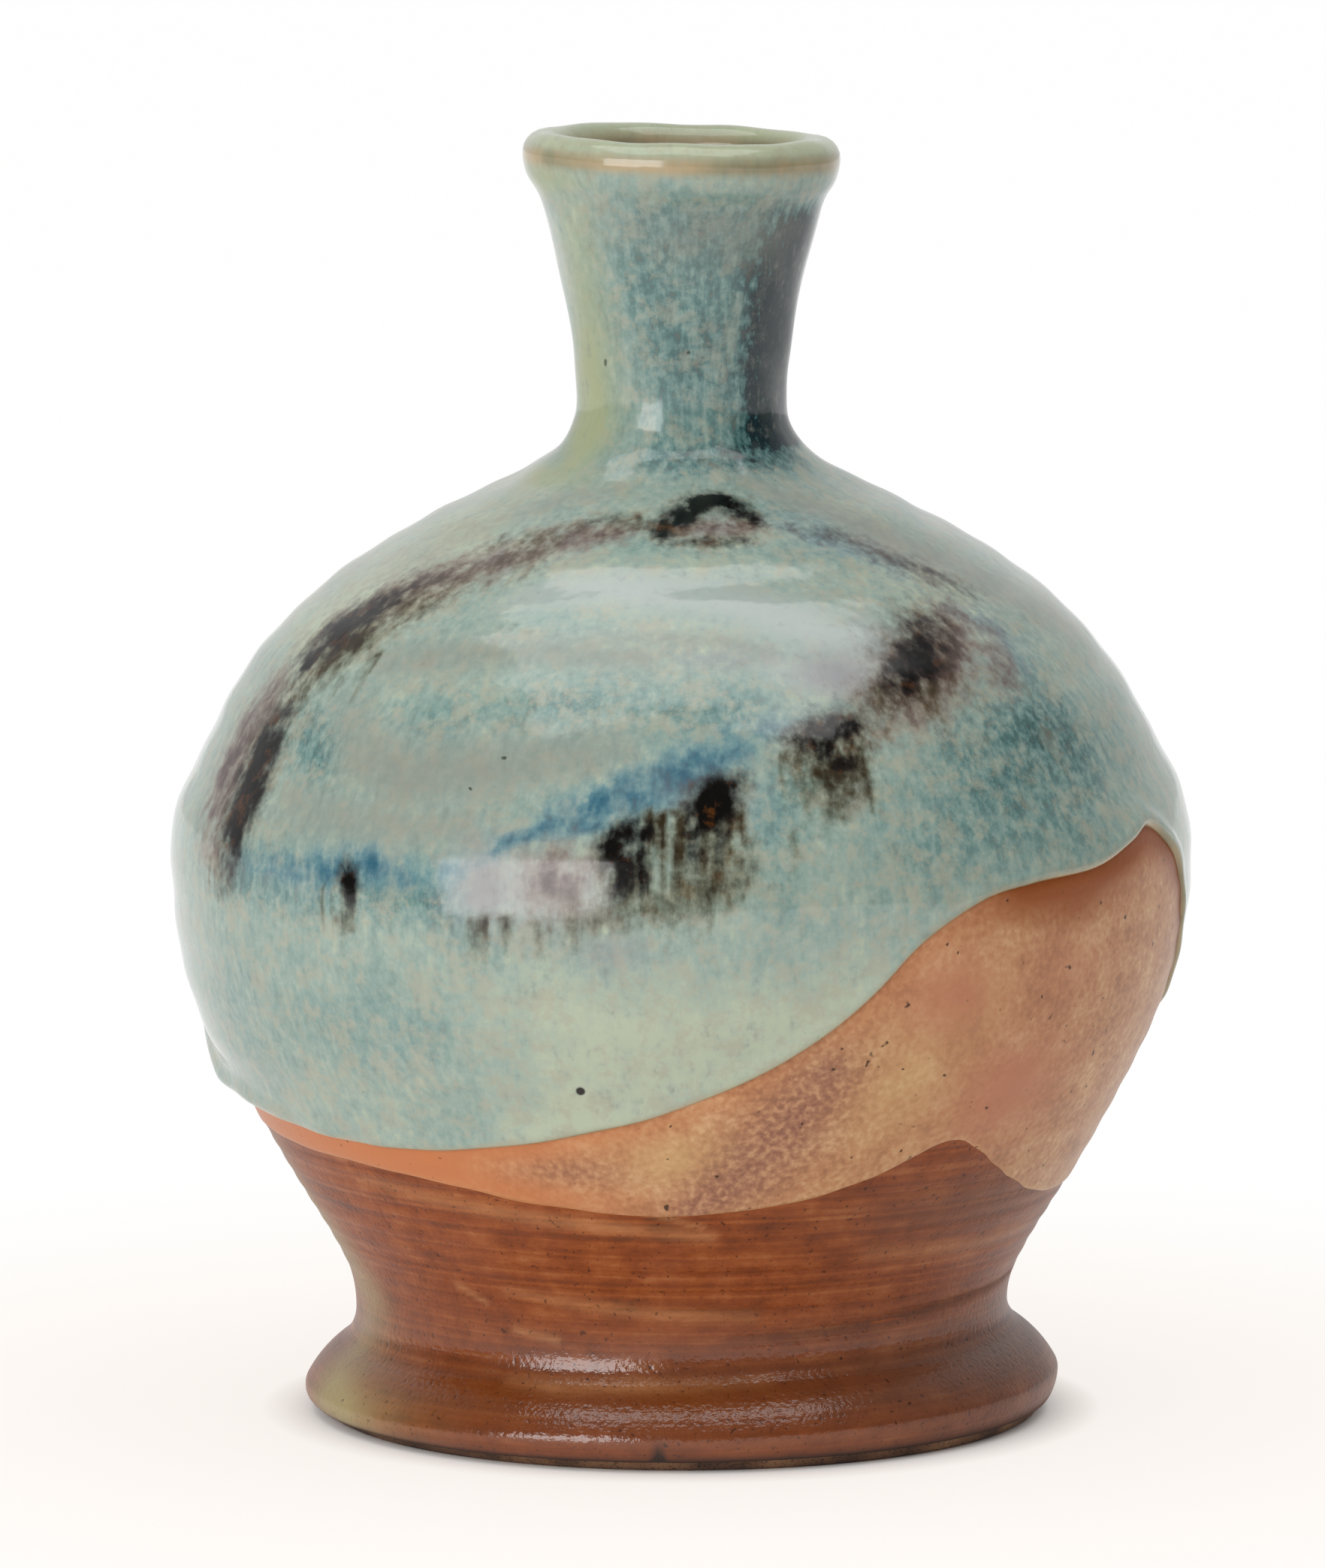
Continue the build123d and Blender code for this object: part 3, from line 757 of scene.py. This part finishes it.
cobalt = brushed(lengths, [
    [(-23.4, 81.6, 1.2, 0.4), (-19.5, 84.6, 1.5, 0.7), (-15.8, 86.0, 1.6, 0.8), (-9, 86.8, 1.8, 0.8)],
    [(-15, 87.6, 2.4, 0.5), (-10, 89.2, 3.4, 0.75), (-4, 90.6, 4.6, 0.85), (1, 92.8, 4.6, 0.85),
     (7, 95.0, 3.4, 0.6)],
    [(-60, 78.4, 2.4, 0.4), (-50, 78.6, 2.8, 0.55), (-43, 79.0, 3.2, 0.75), (-37, 80.0, 3.0, 0.7),
     (-31, 79.6, 2.6, 0.55), (-25, 80.6, 2.0, 0.45)],
    [(49, 109.8, 2.4, 0.5), (55, 107.4, 3.0, 0.6), (54, 103.4, 3.0, 0.45)],
    [(24, 120.4, 2.6, 0.3), (34, 119.2, 3.6, 0.6), (46, 115.6, 3.8, 0.55)],
    [(22, 99.8, 2.4, 0.4), (10, 97.6, 2.6, 0.55), (4, 97.0, 2.4, 0.3)],
], [
    (-1, 92.4, 6.5, 3.4, 0.75), (-8, 89.4, 5, 2.6, 0.6), (9, 88, 4, 5, 0.35), (-42, 79.4, 5, 2.6, 0.5),
    (-36, 57, 9, 6, 0.22),
])
milk = brushed(lengths, [
    [(-31, 111.6, 2.0, 0.5), (-27, 112.8, 2.6, 0.8), (-14, 114.0, 3.4, 0.95), (-3, 113.6, 3.7, 0.95),
     (9, 112.6, 4.0, 0.95), (18, 110.0, 4.8, 0.95), (26, 107.4, 4.0, 0.9), (30, 109.6, 2.8, 0.7)],
    [(13, 105.0, 2.2, 0.6), (21, 103.6, 3.0, 0.8), (27, 104.6, 2.4, 0.6)],
], [
    (8, 120.2, 3.4, 1.6, 1.0),
])
lilac = brushed(lengths, [], [
    (-15, 78, 7.5, 5.5, 0.6), (-22, 79, 5, 6, 0.8), (22, 104.2, 6, 3.4, 0.8), (32, 106, 5, 4, 0.55),
    (6, 106.2, 8, 1.6, 0.5), (20, 91, 3, 4, 0.3), (-8, 71.5, 5, 3, 0.4),
])
dun = brushed(lengths, [
    [(-14, 108.7, 1.1, 0.5), (-3, 108.6, 1.2, 0.8), (7, 108.0, 1.2, 0.8), (14, 106.4, 1.1, 0.5)],
    [(-46, 104, 3.4, 0.6), (-36, 105.6, 3.2, 0.7), (-22, 106.6, 2.4, 0.7), (-6, 106.4, 2.2, 0.7)],
    [(-50, 99, 4.0, 0.4), (-42, 93.0, 5.0, 0.8), (-34, 91.0, 5.5, 0.85), (-24, 93, 5.0, 0.8),
     (-8, 96, 3.0, 0.6)],
    [(-52, 86, 4.0, 0.6), (-38, 85, 4.0, 0.7), (-26, 86, 3.0, 0.6)],
    [(-74, 112, 6, 0.3), (-58, 119, 3.4, 0.45), (-40, 123.0, 2.6, 0.5), (-20, 124.6, 1.8, 0.3)],
    [(-40, 160, 4.0, 0.2), (0, 158, 5.0, 0.45), (40, 158, 5.0, 0.5)],
    [(26, 125, 2.4, 0.5), (44, 121.6, 3.4, 0.75), (60, 115, 5, 0.75), (78, 106, 7, 0.6)],
])
yellow = brushed(lengths, [
    [(-50, 160, 4.0, 0.3), (-56, 149, 4.4, 0.6), (-60, 139, 4.6, 0.95), (-60, 131, 5.0, 1.0),
     (-54, 127.0, 4.0, 0.8)],
    [(-76, 164, 3.0, 0.8), (-60, 164.6, 2.4, 0.7), (-36, 164.8, 1.4, 0.2)],
], [
    (-64, 125.0, 9, 3.0, 0.7), (165, 150, 6, 12, 0.4),
])
yellow = np.maximum(yellow, 0.4 * smooth(height, 167.4, 168.6))
# Lighter low on the front and across the left shoulder
low_front = (1 - smooth(height, 62, 72)) * smooth(COAT_DEGREES, -34, -14)
low_front = low_front * (1 - smooth(COAT_DEGREES, 60, 100))
left_shoulder = smooth(height, 98, 108) * (1 - smooth(height, 124, 128))
left_shoulder = left_shoulder * smooth(COAT_DEGREES, -175, -120) * (1 - smooth(COAT_DEGREES, -60, -36))
# Where the celadon pooled thick it turns darker and bluer; this field also carries the painted shade on the
# neck
pooling_and_painted_shade = brushed(lengths, [
    [(-44, 97.4, 2.6, 0.06), (-26, 99.6, 3.0, 0.1), (-8, 101, 3.0, 0.15), (8, 100, 3.0, 0.18)],
    [(-57.5, 97.2, 2.0, 0.2), (-54, 95, 3.6, 0.32), (-50, 92.4, 4.0, 0.34), (-47, 90, 2.8, 0.15)],
    [(-61, 76.5, 4.0, 0.34), (-46, 76, 4.0, 0.32), (-28, 76.5, 3.8, 0.26), (-22, 73, 4, 0.16)],
    [(60, 104, 6, 0.10), (53, 97, 9, 0.24), (46, 91, 11, 0.26), (34, 85, 9, 0.24), (24, 79, 7, 0.14)],
    [(36, 95, 4, 0.14), (46, 96, 5, 0.16), (56, 94, 5, 0.16), (56, 88, 4, 0.12)],
    [(14, 92, 4, 0.16), (10, 84, 4, 0.18), (12, 76, 4, 0.1)],
    [(-30, 127.4, 2.2, 0.2), (-8, 127.6, 3.0, 0.42), (30, 127.6, 3.0, 0.46), (60, 127.6, 3.0, 0.4)],
    [(-30, 118.6, 1.4, 0.1), (10, 118.4, 1.6, 0.14), (32, 116.6, 2, 0.1)],
    [(22, 122.6, 2.4, 0.15), (36, 120.8, 2.4, 0.2), (48, 116, 2.4, 0.15)],
], [
    (-36, 58, 20, 9, 0.12), (-14, 97, 46, 12, 0.07), (66, 92, 14, 9, 0.12), (50, 84, 16, 6, 0.08),
    (-62, 60, 12, 10, 0.1),
], np.add)
pooling_and_painted_shade = pooling_and_painted_shade + 0.21 - 0.17 * low_front - 0.14 * left_shoulder
on_neck = smooth(height, 127.5, 130.5) * (1 - smooth(height, 161, 166)) * (lengths < CREST_LENGTH)
neck_side = smooth(COAT_DEGREES, -60, -4) * (1 - smooth(COAT_DEGREES, 120, 150))
# Painted shade and dark reflection down the right side of the neck
neck_painted_shade = smooth(COAT_DEGREES, 22, 62) * (1 - smooth(COAT_DEGREES, 88, 130))
neck_painted_shade = neck_painted_shade * (1 - smooth(height, 155, 164))
neck_low = (1 - smooth(height, 131, 146)) * neck_side
on_lip = smooth(height, 167.2, 168.6)
# The neck is darker over its front and right, most where the shade is painted, and the lip a little lighter
pooling_and_painted_shade = pooling_and_painted_shade + on_neck * (0.36 * neck_side + 1.12 * neck_painted_shade - 0.08 * neck_low) - 0.2 * on_lip
lip_band = smooth(height, 165.7, 166.5) * (1 - smooth(height, 167.4, 168.3)) * (lengths < CREST_LENGTH)
inside_lip = smooth(lengths, CREST_LENGTH + 1.0, CREST_LENGTH + 2.6)
broken = 0.85 * lip_band + 0.8 * inside_lip + 0.95 * bell(from_edge, 0, EDGE_ROLL)
for name, values in (
    ("oxide", oxide), ("drips", drips), ("plum", plum), ("cobalt", cobalt), ("milk", milk),
    ("lilac", lilac), ("dun", dun), ("yellow", yellow), ("pooling_and_painted_shade", pooling_and_painted_shade), ("broken", broken),
):
    paint(celadon_piece, name, values, rings)

# Celadon over brushed oxides: a deep hard gloss over grey-green that curdled into blue where it is thick,
# with a fine upright grain where the glaze ran, and brushwork that bled at its edges. The same dark blue
# is painted down the right of the neck as shade
celadon = material("run_celadon_glaze")
tree = celadon.node_tree
place = add(tree, "TexCoord", out="Object")
flow = add(tree, "Attribute", attribute_name="flow", out="Vector")
here = {
    name: add(tree, "Attribute", attribute_name=name, out="Fac")
    for name in ("pooling_and_painted_shade", "dun", "yellow", "milk", "lilac", "cobalt", "plum", "drips", "oxide", "broken")
}
grain = add(tree, "TexNoise", {"Vector": place, "Scale": per_metre(1.3), "Detail": 3, "Roughness": 0.6})
streak = add(tree, "TexNoise", {"Vector": flow, "Scale": per_metre(1.2), "Detail": 3, "Roughness": 0.6})
cloud = add(tree, "TexNoise", {"Vector": place, "Scale": per_metre(11), "Detail": 3})
blotch = add(tree, "TexNoise", {"Vector": place, "Scale": per_metre(3.2), "Detail": 3})
rough = add(tree, "Math", {0: grain, 1: streak}, operation="ADD")
rough = add(tree, "Math", {0: rough, 1: -1.0}, operation="ADD")
threads = add(tree, "TexNoise", {"Vector": flow, "Scale": per_metre(2.2), "Detail": 2})
swing = add(tree, "Math", {0: here["pooling_and_painted_shade"], 1: 1.4, 2: 0.12}, operation="MULTIPLY_ADD")
tone = add(tree, "Math", {0: rough, 1: swing, 2: here["pooling_and_painted_shade"]}, operation="MULTIPLY_ADD")
drift = add(tree, "Math", {0: cloud, 1: 0.44, 2: -0.21}, operation="MULTIPLY_ADD")
tone = add(tree, "Math", {0: tone, 1: drift}, operation="ADD")
colour = add(tree, "ValToRGB", {"Fac": tone}, stops=[
    (0.0, "#a0a893"), (0.2, "#89998f"), (0.4, "#728a84"), (0.6, "#557371"), (0.8, "#365555"),
    (1.0, "#11242a"),
])
warm = add(tree, "TexNoise", {"Vector": place, "Scale": per_metre(3.5), "Detail": 5, "Roughness": 0.75})
warmth = add(tree, "MapRange", {"Value": warm, "From Min": 0.47, "From Max": 0.6, "To Max": 0.6})
thin = add(tree, "MapRange", {
    "Value": here["pooling_and_painted_shade"], "From Min": 0.45, "From Max": 0.75, "To Min": 1.0, "To Max": 0.15,
})
warmth = add(tree, "Math", {0: warmth, 1: thin}, operation="MULTIPLY")
colour = add(tree, "MixRGB", {"Fac": warmth, "Color1": colour, "Color2": linear("#989684")})
spots = {
    "dun": ("#7d8077", 0.75), "yellow": ("#93986d", 0.75), "milk": ("#98a19d", 0.85),
    "lilac": ("#7f7c80", 0.85),
}
for name, (hue, most) in spots.items():
    ragged = add(tree, "Math", {0: rough, 1: 0.3, 2: here[name]}, operation="MULTIPLY_ADD")
    amount = add(tree, "MapRange", {"Value": ragged, "From Min": 0.04, "From Max": 0.85, "To Max": most})
    colour = add(tree, "MixRGB", {"Fac": amount, "Color1": colour, "Color2": linear(hue)})
bleed = {
    "cobalt": [(0.0, "#789294"), (0.5, "#4f7884"), (1.0, "#2a5365")],
    "plum": [(0.0, "#8a7c74"), (0.5, "#75625b"), (1.0, "#46393a")],
    "drips": [(0.0, "#7d8064"), (0.4, "#524c2f"), (0.8, "#2a2213"), (1.0, "#191309")],
    "oxide": [(0.0, "#605841"), (0.35, "#423823"), (0.7, "#1a1512"), (1.0, "#070605")],
}
for name, hues in bleed.items():
    uneven = add(tree, "Math", {0: blotch, 1: threads}, operation="ADD")
    uneven = add(tree, "Math", {0: uneven, 1: 1.2, 2: -0.16}, operation="MULTIPLY_ADD")
    uneven = add(tree, "Math", {0: uneven, 1: here[name]}, operation="MULTIPLY")
    ragged = add(tree, "Math", {0: rough, 1: 0.5, 2: uneven}, operation="MULTIPLY_ADD")
    amount = add(tree, "MapRange", {
        "Value": ragged, "From Min": 0.03, "From Max": 0.95,
    }, interpolation_type="SMOOTHSTEP")
    hue = add(tree, "ValToRGB", {"Fac": ragged}, stops=hues)
    colour = add(tree, "MixRGB", {"Fac": amount, "Color1": colour, "Color2": hue})
rust = add(tree, "MapRange", {"Value": warm, "From Min": 0.55, "From Max": 0.64, "To Max": 0.55})
rust = add(tree, "Math", {0: rust, 1: here["oxide"]}, operation="MULTIPLY")
colour = add(tree, "MixRGB", {"Fac": rust, "Color1": colour, "Color2": linear("#54300f")})
broken_tone = add(tree, "ValToRGB", {"Fac": cloud}, stops=[
    (0.35, "#76643a"), (0.5, "#a08457"), (0.65, "#b0926a"),
])
broken_amount = add(tree, "Math", {0: here["broken"], 1: 0.8}, operation="MULTIPLY", use_clamp=True)
colour = add(tree, "MixRGB", {"Fac": broken_amount, "Color1": colour, "Color2": broken_tone})

# One pinhole, where a bubble burst through the coat low on the front, and a few iron specks
PINHOLE_AZIMUTH = radians(-12)
PINHOLE_HEIGHT = 52.4
PINHOLE_RADIUS = 0.55
pin_radius, _ = surface(outside(PINHOLE_HEIGHT), CELADON_THICKNESS)
pinhole = (
    pin_radius * sin(PINHOLE_AZIMUTH) * MM, -pin_radius * cos(PINHOLE_AZIMUTH) * MM, PINHOLE_HEIGHT * MM,
)
away = add(tree, "VectorMath", {0: place, 1: pinhole}, operation="DISTANCE", out="Value")
hole = add(tree, "MapRange", {
    "Value": away, "From Min": PINHOLE_RADIUS * MM, "From Max": PINHOLE_RADIUS * 1.4 * MM,
    "To Min": 1.0, "To Max": 0.0,
})
colour = add(tree, "MixRGB", {"Fac": hole, "Color1": colour, "Color2": linear("#15110c")})
speck = add(tree, "TexNoise", {"Vector": place, "Scale": per_metre(2.2), "Detail": 1})
specks = add(tree, "ValToRGB", {"Fac": speck}, stops=[(0.155, "#4a4f3c"), (0.185, "#ffffff")])
colour = add(tree, "MixRGB", {"Fac": 0.8, "Color1": colour, "Color2": specks}, blend_type="MULTIPLY")
ripple = add(tree, "TexNoise", {"Vector": place, "Scale": per_metre(4), "Detail": 2})
ripples = add(tree, "Bump", {"Height": ripple, "Distance": 0.00025, "Strength": 0.35})
relief = add(tree, "Bump", {"Height": grain, "Distance": 0.00002, "Strength": 0.4, "Normal": ripples})
dulled = add(tree, "Math", {0: here["lilac"], 1: 0.3, 2: 0.11}, operation="MULTIPLY_ADD")
gloss = add(tree, "BsdfPrincipled", {
    "Base Color": colour, "Roughness": dulled, "IOR": 1.5, "Normal": relief,
})
add(tree, "OutputMaterial", {"Surface": gloss})
celadon_piece.data.materials.append(celadon)
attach(celadon_piece, "root")
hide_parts("celadon_glaze")


# The studio: a white paper floor under and behind the vase, a soft light low on the left, a broad one
# overhead, and the camera at the photograph's distance, height and narrow angle.

FLOOR_SIZE = 6.0
sweep_mesh = bpy.data.meshes.new("floor")
corner = FLOOR_SIZE / 2
corners = [(-corner, -corner, 0), (corner, -corner, 0), (corner, corner, 0), (-corner, corner, 0)]
sweep_mesh.from_pydata(corners, [], [(0, 1, 2, 3)])
sweep = bpy.data.objects.new("floor", sweep_mesh)
bpy.context.scene.collection.objects.link(sweep)
paper = material("white_paper_sweep")
tree = paper.node_tree
matt = add(tree, "BsdfDiffuse", {"Color": linear("#fbf8f5")})
place = add(tree, "TexCoord", out="Object")
away = add(tree, "VectorMath", {0: place}, operation="LENGTH", out="Value")

# In the camera's eye and in reflections the paper glows: a little warm beside the foot, where the shadow
# stays, as painted bounce light from the brown foot, and white further out, so that it meets the white
# behind it with no edge
far = add(tree, "MapRange", {
    "Value": away, "From Min": 0.08, "From Max": 0.2,
}, interpolation_type="SMOOTHSTEP")
near = add(tree, "MapRange", {"Value": away, "From Min": 0.047, "From Max": 0.056, "To Max": 0.87})
# The warm white near the foot is painted bounce light from the brown glaze
bounce_warmed_white = add(tree, "MixRGB", {"Fac": far, "Color1": linear("#fdf8f3"), "Color2": linear("#ffffff")})
bright = add(tree, "Emission", {"Color": bounce_warmed_white, "Strength": 1.0})
camera_ray = add(tree, "LightPath", out="Is Camera Ray")
glossy_ray = add(tree, "LightPath", out="Is Glossy Ray")
seen = add(tree, "Math", {0: camera_ray, 1: glossy_ray}, operation="MAXIMUM")
lit = add(tree, "Math", {0: far, 1: 0.12, 2: near}, operation="MULTIPLY_ADD")
lifted = add(tree, "Math", {0: seen, 1: lit}, operation="MULTIPLY")
look = add(tree, "MixShader", {0: lifted, 1: matt, 2: bright})
add(tree, "OutputMaterial", {"Surface": look})
sweep_mesh.materials.append(paper)


AIM_HEIGHT = 0.08


def softbox(name, azimuth, elevation, distance, width, depth, power):
    """A soft light aimed at the middle of the vase, placed by azimuth and elevation in degrees."""
    lamp = bpy.data.lights.new(name, "AREA")
    lamp.shape = "RECTANGLE"
    lamp.size, lamp.size_y, lamp.energy = width, depth, power
    light = bpy.data.objects.new(name, lamp)
    turn, tilt = radians(azimuth), radians(elevation)
    light.location = (
        distance * sin(turn) * cos(tilt), -distance * cos(turn) * cos(tilt),
        distance * sin(tilt) + AIM_HEIGHT,
    )
    light.rotation_euler = (radians(90) - tilt, 0, turn)
    bpy.context.scene.collection.objects.link(light)


softbox("key_light", azimuth=-36, elevation=10, distance=1.2, width=0.75, depth=0.6, power=7.2)
softbox("overhead_light", azimuth=0, elevation=85.5, distance=1.3, width=1.5, depth=1.2, power=11.2)

# The room lights the vase evenly. In reflections it is dark in front and pale behind, so that the rims of
# the pot stand out softly, and the camera sees it white
ROOM_LIGHT = 0.6
world = bpy.data.worlds.new("studio")
bpy.context.scene.world = world
world.use_nodes = True
tree = world.node_tree
tree.nodes.clear()
camera_ray = add(tree, "LightPath", out="Is Camera Ray")
glossy_ray = add(tree, "LightPath", out="Is Glossy Ray")
direction = add(tree, "TexCoord", out="Generated")
backward = add(tree, "SeparateXYZ", {"Vector": direction}, out="Y")
walls = add(tree, "MapRange", {
    "Value": backward, "From Min": 0.1, "From Max": 0.95, "To Min": 0.08, "To Max": 0.75,
})
strength = add(tree, "Mix", {"Factor": glossy_ray, "A": ROOM_LIGHT, "B": walls})
strength = add(tree, "Math", {0: strength, 1: camera_ray}, operation="MAXIMUM")
sky = add(tree, "Background", {"Color": (1, 1, 1, 1), "Strength": strength})
add(tree, "OutputWorld", {"Surface": sky})

CAMERA_DISTANCE = 1800.0
CAMERA_HEIGHT = 333.0
CAMERA_SIDE = -2.55
CAMERA_PITCH = 7.889
SENSOR_HEIGHT = 36.0
LENS = 315.0
camera_data = bpy.data.cameras.new("camera")
camera_data.sensor_fit = "VERTICAL"
camera_data.sensor_height = SENSOR_HEIGHT
camera_data.lens = LENS
camera = bpy.data.objects.new("camera", camera_data)
camera.location = (CAMERA_SIDE * MM, -CAMERA_DISTANCE * MM, CAMERA_HEIGHT * MM)
camera.rotation_euler = (radians(90 - CAMERA_PITCH), 0, 0)
bpy.context.scene.collection.objects.link(camera)
bpy.context.scene.camera = camera
bpy.context.scene.view_settings.view_transform = "Standard"
